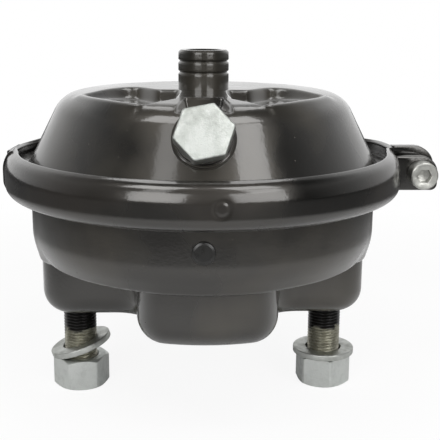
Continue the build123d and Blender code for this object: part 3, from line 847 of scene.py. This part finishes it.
# %% Stub
STUB_R, STUB_BORE = 11.7, 7.3
stub_foot, stub_top = CAP_TOP - 5.0, CAP_TOP + 17.8
outside = [(STUB_R, stub_foot)]
for height in (stub_top - 10.1, stub_top - 5.05):
    outside += [(STUB_R, height - 0.8), (10.9, height), (STUB_R, height + 0.8)]
outside += [(STUB_R, stub_top - 1.0), (10.7, stub_top), (8.3, stub_top), (STUB_BORE, stub_top - 1.0)]
stub_line = rounded(outside + [(STUB_BORE, stub_foot)], [0] + [0.15] * 10 + [0], steps=4)
lathe("inlet_stub", even(stub_line, 1.0), ("chamber", ["air_inlet_stub"], STUB), sharp=25)

# %% [markdown]
# ## Side port: boss, seal and plug
#
# The port stands square on the leaning wall. Its frame has its z axis along the plug.
# The plug's head is a hexagon: its radius at an angle is half the width across flats
# divided by the cosine of the angle to the nearest flat's middle.

# %% Hexagon helper
def hex_radius(angle, across, soft=0.985):
    """(across / 2) / cos(angle to the nearest flat), corners cut to soft times the full radius."""
    to_flat = (angle % (TURN / 6)) - TURN / 12
    return np.minimum(across / 2 / np.cos(to_flat), across / np.sqrt(3) * soft)


def hex_piece(name, across, rows, turn, place, dress, steps=144):
    """Rows of (kind, value, height): hexagons scaled by value, or circles of that radius."""
    a = np.arange(steps) * TURN / steps
    r = np.stack([hex_radius(a, across) * v if kind == "hex" else np.full(steps, float(v))
                  for kind, v, _ in rows])
    z = np.array([row[2] for row in rows])[:, None] + 0 * r
    points = set_on(place, polar(r, a + turn, z))
    return make_piece(name, points, tube_faces(len(rows), steps), dress, sharp=28)


PORT_Z = JOINT + 23.7
port_out = np.array([np.cos(FRONT) * np.cos(LEAN), np.sin(FRONT) * np.cos(LEAN), np.sin(LEAN)])
port_r = cap_line(PORT_Z)
port = place_on([port_r * np.cos(FRONT), port_r * np.sin(FRONT), PORT_Z], port_out)
boss_line = rounded([(8.2, -4.0), (13.1, -4.0), (13.1, 0.1), (12.5, 0.4), (12.5, 0.95), (11.9, 1.2),
                     (11.9, 1.6), (8.2, 1.6)], [0, 0, 0.3, 0.15, 0.2, 0.15, 0.25, 0], steps=5)
lathe("port_boss", boss_line, ("chamber", ["side_port_boss"], HOUSING), steps=96, place=port)
seal_line = rounded([(8.1, 1.65), (11.7, 1.65), (11.7, 3.2), (8.1, 3.2)], [0, 0.4, 0.4, 0], steps=4)
lathe("port_seal", seal_line, ("chamber", ["port_plug_washer"], SEAL), steps=96, place=port)
plug_rows = [("circle", 7.9, -6.0), ("circle", 7.9, 3.22)]
plug_rows += [("hex", scale, height) for scale, height in (
    (0.985, 3.25), (1.0, 3.6), (1.0, 8.1), (0.992, 8.45), (0.975, 8.75), (0.95, 8.92), (0.92, 9.0),
    (0.5, 9.0), (0.1, 9.0))]
hex_piece("port_plug_head", 22.0, plug_rows, np.radians(11.7), port, ("chamber", ["port_plug"], PLUG))

# %% [markdown]
# ## Studs with a real thread
#
# A rolled M16 thread is one long helix. On a grid of angle and height the radius is the
# core radius plus a rounded triangle wave of (height / pitch - angle / full turn), so
# that the crests climb one pitch per turn.

# %% Threaded studs
PITCH = 1.5


def stud_points(x0, foot=-42.2, steps=60):
    """Thread rows, eight to a turn, with the crest fading at the bevelled tip, then the hidden head."""
    z = np.arange(foot, 7.0 + 1e-6, PITCH / 8)[:, None]
    a = (np.arange(steps) * TURN / steps)[None, :]
    wave = (z / PITCH - a / TURN) % 1.0
    tooth = np.clip(1.35 * np.abs(2 * wave - 1) - 0.15, 0, 1)
    bevel = np.clip((z - foot) / 1.2, 0, 1)
    r = 7.0 + (0.9 * tooth) * bevel - 0.5 * (1 - bevel)
    head = np.array([[12.0, 7.02], [12.0, 12.6], [11.4, 13.0]])
    r = np.vstack([r, np.repeat(head[:, :1], steps, 1)])
    z = np.vstack([z + 0 * a, np.repeat(head[:, 1:], steps, 1)])
    return polar(r, a, z, x0), tube_faces(len(r), steps)


for word, sign in (("left", -1), ("right", 1)):
    make_piece(f"threaded_stud_{word}", *stud_points(sign * STUD_X),
               ("chamber", [f"mounting_stud_{word}"], STUD), sharp=60)

# %% [markdown]
# ## Nuts and washers
#
# A cold-formed nut is a hexagon whose corners are turned off by a 30 degree cone at both
# faces. Taking the smaller of the hexagon's radius and the cone's radius at every angle
# and height gives the curved edges that meet at the flats.

# %% Nuts
NUT_FOOT, NUT_H, NUT_ACROSS, NUT_BORE = -43.2, 14.8, 24.0, 7.98


def nut_points(x0, turn, steps=180):
    """Outer wall = min(hexagon, cone) over close rows near both faces, then flat faces and bore."""
    near, bevel = np.linspace(0, 2.2, 12), NUT_BORE + 0.9
    z = np.concatenate([near, np.linspace(2.2, NUT_H - 2.2, 6)[1:-1], NUT_H - near[::-1]])
    a = np.arange(steps) * TURN / steps
    cone = NUT_ACROSS / 2 * 0.985 + np.minimum(z, NUT_H - z) / np.tan(np.radians(30.0))
    r = np.minimum(hex_radius(a, NUT_ACROSS, 0.98)[None, :], cone[:, None])
    inner = np.array([[bevel, NUT_H], [NUT_BORE, NUT_H - 0.9], [NUT_BORE, 0.9], [bevel, 0]])
    r = np.vstack([r, np.repeat(inner[:, :1], steps, 1)])
    z = np.concatenate([z, inner[:, 1]])[:, None] + NUT_FOOT + 0 * r
    return polar(r, a + turn, z, x0), grid_faces(len(r), steps, True, True)


for word, sign, turn in (("left", -1, 10.0), ("right", 1, 38.0)):
    make_piece(f"nut_{word}", *nut_points(sign * STUD_X, np.radians(turn)),
               ("chamber", [f"stud_nut_{word}"], NUT), sharp=24)

# %% Washers
WASHER_T, TILT, LOOSE = 3.0, np.radians(18.5), 0.05  # thickness, tilt of the left one, gap to the nut
washer_line = [(8.75, 0), (15.0, 0), (15.0, WASHER_T), (8.75, WASHER_T)]
washer_line = rounded(washer_line, [0.4, 0.6, 0.5, 0.4], steps=5)
right_at = (np.array([STUD_X, 0, NUT_FOOT + NUT_H + LOOSE]), np.eye(3))
lathe("loose_washer_right", washer_line, ("right_washer", ["stud_washer_right"], WASHER),
      steps=120, place=right_at)
tilt_z = NUT_FOOT + NUT_H + (NUT_ACROSS / 2 * np.sin(TILT) + LOOSE + WASHER_T / 2) / np.cos(TILT)
tilt_axes = np.array([[np.cos(TILT), 0, np.sin(TILT)], [0, 1, 0], [-np.sin(TILT), 0, np.cos(TILT)]])
left_at = (np.array([-STUD_X, 0, tilt_z]), tilt_axes)
lathe("loose_washer_left", washer_line - [0, WASHER_T / 2],
      ("left_washer", ["stud_washer_left"], WASHER), steps=120, place=left_at)

# %% [markdown]
# ## Clamp screw and nut
#
# A socket-head cap screw, M8: a cylinder head with a broken edge and a six-sided socket,
# and its nut behind the rear ear. Cutting the socket with a boolean would leave long thin
# faces, so circle rows blend into hexagon rows at the socket's mouth instead.

# %% Screw
screw_place = (np.array([103.2, 0, 63.1]), np.array([[1, 0, 0], [0, 0, 1], [0, -1, 0]]))
screw_rows = [("circle", 3.95, -15.5), ("circle", 3.95, 6.45), ("circle", 6.2, 6.5), ("circle", 6.5, 6.8),
              ("circle", 6.5, 13.6), ("circle", 6.3, 14.2), ("circle", 5.8, 14.5), ("circle", 4.2, 14.5),
              ("hex", 1.0, 14.1), ("hex", 1.0, 10.5), ("hex", 0.1, 10.0)]
hex_piece("clamp_screw", 6.0, screw_rows, 0.0, screw_place, ("chamber", ["clamp_bolt"], SCREW), steps=96)
nut_rows = [("circle", 4.0, -6.52), ("hex", 0.96, -6.55), ("hex", 1.0, -7.0), ("hex", 1.0, -12.5),
            ("hex", 0.96, -13.0), ("circle", 4.0, -13.0)]
hex_piece("clamp_screw_nut", 13.0, nut_rows, 0.0, screw_place, ("chamber", ["clamp_nut"], SCREW), steps=96)

# %% [markdown]
# ## Vent plugs
#
# Small domed nylon plugs in the bowl's vent holes. Each is a turned shape set square on
# the wall at its own angle. One outline serves all three, as one mould does.

# %% Vent plugs
plug_line = [(0.05, -3.0), (3.9, -3.0), (3.9, -0.4), (4.9, -0.4), (4.9, 0.7), (3.6, 1.15), (0.05, 1.2)]
plug_line = rounded(plug_line, [0, 0, 0, 0.2, 0.6, 1.5, 0], steps=6)
for word, angle in (("front", FRONT), ("right", 0.0), ("rear", FRONT - np.pi)):
    out = np.array([np.cos(angle), np.sin(angle), 0])
    lathe(f"vent_plug_cap_{word}", plug_line, ("chamber", [f"vent_plug_{word}"], VENT),
          steps=64, place=place_on(BOWL_R * out + [0, 0, VENT_Z], out))

# %% [markdown]
# ## Inside: diaphragm, plate and rod, spring, boot
#
# These are hidden at rest, but the boot and the rod's tip show from below, and the rod
# comes out when air pushes the diaphragm. On the real chamber the diaphragm bends between the
# fixed joint and the moving plate, and spring and boot shorten; here the diaphragm rides on no
# body, and spring and boot get meshes of their own.

# %% Diaphragm
rubber_line = rounded([(0.05, 92.2), (0.05, 89.2), (56.0, 89.2), (72.7, 63.6), (88.4, 63.6), (88.4, 66.6),
                       (74.2, 66.6), (57.5, 92.2)], [0, 0, 2, 5, 0.4, 0.4, 2, 5], steps=8)
membrane = lathe("rubber_diaphragm", even(rubber_line, 2.5), (None, ["diaphragm"], DIAPHRAGM), steps=120)
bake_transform(membrane)

# %% Plate, rod
plate_line = rounded([(0.05, 86.02), (54.0, 86.02), (54.0, 89.0), (0.05, 89.0)], [0, 0.6, 2, 0], steps=5)
lathe("push_plate_disc", even(plate_line, 3.0), ("push_rod_assembly", ["push_plate"], INNER), steps=96)
rod_line = [(0.05, -15.0), (9.0, -15.0), (9.0, 78.0), (15.0, 86.0), (0.05, 86.0)]
rod_line = rounded(rod_line, [0, 7, 8, 0, 0], steps=10)
lathe("push_rod_bar", even(rod_line, 3.0), ("push_rod_assembly", ["push_rod"], INNER), steps=72)

# %% Spring
def coil(foot, top, low_radius, high_radius, turns, thick, steps=420, sides=14):
    """Tube of radius thick round a widening helix; its section is square to the path."""
    t = np.linspace(0, 1, steps)[:, None]
    a = TURN * turns * t
    radius = low_radius + (high_radius - low_radius) * t
    path = np.hstack([radius * np.cos(a), radius * np.sin(a), foot + (top - foot) * t])
    along = unit(np.gradient(path, axis=0))
    outward = np.hstack([np.cos(a), np.sin(a), 0 * a])
    outward = unit(outward - along * np.einsum("ij,ij->i", outward, along)[:, None])
    other = np.cross(along, outward)
    s = (np.arange(sides) * TURN / sides)[None, :, None]
    points = path[:, None] + thick * (np.cos(s) * outward[:, None] + np.sin(s) * other[:, None])
    return points.reshape(-1, 3), tube_faces(steps, sides)


spring = make_piece("return_coil", *coil(9.15, 83.85, 34.6, 48.5, 4.0, 2.0),
                    ("chamber", ["return_spring"], SPRING))
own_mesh(spring)

# %% Boot
FOLDS, SKIN, BOOT_FOOT, BOOT_TOP = 4, 1.6, 5.0, 64.0
fold_h = (BOOT_TOP - BOOT_FOOT) / FOLDS
folds = []
for i in range(FOLDS):
    crest = BOOT_FOOT + fold_h * (i + 0.5)
    folds += [(16.5, crest - fold_h / 2 + 0.8), (24.0, crest)]
boot_corners = [(21.5, -1.2), (26.7, -1.2), (26.7, 3.0), (30.5, 3.0), (30.5, 5.0), (24.0, 5.0)] + folds
boot_corners += [(12.5, BOOT_TOP), (12.5, 70.0), (9.3, 70.0), (9.3, BOOT_TOP - SKIN)]
boot_corners += [(r - SKIN, z) for r, z in folds[::-1]] + [(14.9, 3.0), (21.5, 1.4)]
bends = [0.5, 0.5, 0.3, 0.3, 0.3, 0.5] + [1.2, 1.6] * FOLDS + [0.8, 0.5, 0.3, 0.5]
boot_line = rounded(boot_corners, bends + [1.2, 1.0] * FOLDS + [0.5, 0.5], steps=5)
boot = lathe("rod_boot_bellows", even(boot_line, 2.5), ("chamber", ["rod_boot"], BOOT), steps=96)
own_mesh(boot)

# %% Pieces that keep their CAD shape
for node in ("stud_plate", "boot_retaining_ring"):
    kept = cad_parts[node]
    kept.data.materials.clear()
    kept.data.materials.append(INNER[1])
    print("kept", node)

# %% [markdown]
# ## Studio
#
# A pale floor, a white background, and eight soft boxes in pairs from left and right.
# Black gloss shows its surroundings, so the gap between the front boxes draws the dark
# middle of the object, and the boxes draw the long highlights on the band and the wall.
# Mirrored rays see a studio that is dark in front and overhead and pale behind the
# object, while the camera sees plain white.

# %% Floor and world
floor_z = NUT_FOOT * MM  # the nuts stand on it
floor_mesh = bpy.data.meshes.new("studio_floor")
square = [(-3, -3, floor_z), (3, -3, floor_z), (3, 3, floor_z), (-3, 3, floor_z)]
floor_mesh.from_pydata(square, [], [(0, 1, 2, 3)])
floor = placed("studio_floor", floor_mesh)
paper = bpy.data.materials.new("studio_paper")
tree = empty_tree(paper)
spot = add(tree, "TexCoord").outputs["Object"]
flat = add(tree, "VectorMath", {0: spot, 1: (1, 1, 0)}, operation="MULTIPLY").outputs[0]
away = add(tree, "VectorMath", {0: flat}, operation="LENGTH").outputs["Value"]
sheet = spread(tree, away, 0.24, 0.44, 1.0, 0.0)
seen = add(tree, "LightPath").outputs["Is Camera Ray"]
tone = spread(tree, sheet, 0.0, 1.0, 0.14, 0.72)
tone = calc(tree, tone, "MAXIMUM", spread(tree, seen, 0.0, 1.0, 0.0, 0.86))
matt = add(tree, "BsdfDiffuse", {"Color": tone}).outputs[0]
white = add(tree, "Emission", {"Color": (1, 1, 1, 1), "Strength": 1.0}).outputs[0]
share = calc(tree, seen, "MULTIPLY", spread(tree, sheet, 0.0, 1.0, 1.0, 0.9))
both = add(tree, "MixShader", {0: share, 1: matt, 2: white}).outputs[0]
add(tree, "OutputMaterial", {"Surface": both})
floor_mesh.materials.append(paper)

studio = bpy.data.worlds.new("studio")
bpy.context.scene.world = studio
tree = empty_tree(studio)
facing = add(tree, "TexCoord").outputs["Generated"]
split = add(tree, "SeparateXYZ", {0: facing}).outputs
behind = spread(tree, split[1], -0.55, 0.9, 0.04, 0.9)
mirrored = calc(tree, behind, "MULTIPLY", spread(tree, split[2], 0.55, 0.82, 1.0, 0.1))
ray = add(tree, "LightPath").outputs
clear = calc(tree, ray["Is Camera Ray"], "MAXIMUM", ray["Is Transmission Ray"])
level = add(tree, "Mix", {0: clear, 2: mirrored, 3: 1.0}, data_type="FLOAT").outputs[0]
back = add(tree, "Background", {"Color": (1, 1, 1, 1), "Strength": level}).outputs[0]
add(tree, "OutputWorld", {"Surface": back})


# %% Soft boxes
def soft_box(name, azimuths, elevations, glow, away=1.2):
    """Area lamp filling a range of directions; power = glow x pi x area, in watts."""
    a, e = np.radians(np.mean(azimuths)), np.radians(np.mean(elevations))
    out = Vector((np.sin(a) * np.cos(e), -np.cos(a) * np.cos(e), np.sin(e)))
    lamp = bpy.data.lights.new(name, "AREA")
    lamp.shape = "RECTANGLE"
    lamp.size = 2 * away * np.tan(np.radians(np.ptp(azimuths)) / 2) * np.cos(e)
    lamp.size_y = 2 * away * np.tan(np.radians(np.ptp(elevations)) / 2)
    lamp.energy = glow * np.pi * lamp.size * lamp.size_y
    holder = placed(name, lamp)
    holder.location = Vector((0, 0, 0.05)) + out * away
    holder.rotation_euler = out.to_track_quat("Z", "Y").to_euler()
    print(name, [round(v, 2) for v in holder.location], round(lamp.energy, 1), "W")


soft_box("low_box_left", (-41, -11), (2, 33), 4.2, away=0.8)
soft_box("low_box_right", (14, 43), (2, 33), 4.2, away=0.8)
soft_box("middle_box_left", (-37, -22), (33, 48), 2.4)
soft_box("middle_box_right", (24, 48), (33, 48), 5.0)
soft_box("high_box_left", (-66, -20), (50, 72), 5.6)
soft_box("high_box_right", (16, 60), (50, 72), 5.6)
soft_box("back_box_left", (-170, -145), (52, 72), 3.0)
soft_box("back_box_right", (145, 170), (52, 72), 3.0)

# %% [markdown]
# ## Camera
#
# The camera looks slightly down at the front, a little from the right, as the picture
# was taken. Its distance, height and lens were worked out from the sizes of the nuts, the
# studs' spacing and the band's ellipse.

# %% Camera
FOCAL = 914 / 440  # focal length over the width of the picture
yaw, pitch, roll = np.radians(2.6), 0.2296, 0.007  # round the object, down, and about the line of sight
turn = Matrix.Rotation(-yaw, 3, "Z")
look = turn @ Vector((0, np.cos(pitch), -np.sin(pitch)))
up = turn @ Vector((0, np.sin(pitch), np.cos(pitch)))
right = look.cross(up)
lens = bpy.data.cameras.new("camera")
lens.sensor_width = 36
lens.lens = FOCAL * lens.sensor_width
lens.clip_start = 0.01
camera = placed("camera", lens)
c, s = np.cos(roll), np.sin(roll)
pose = Matrix((right * c + up * s, up * c - right * s, -look)).transposed().to_4x4()
pose.translation = turn @ Vector((0.00816, -0.430, 0.1398))
camera.matrix_world = pose
bpy.context.scene.camera = camera
bpy.context.scene.view_settings.view_transform = "Standard"
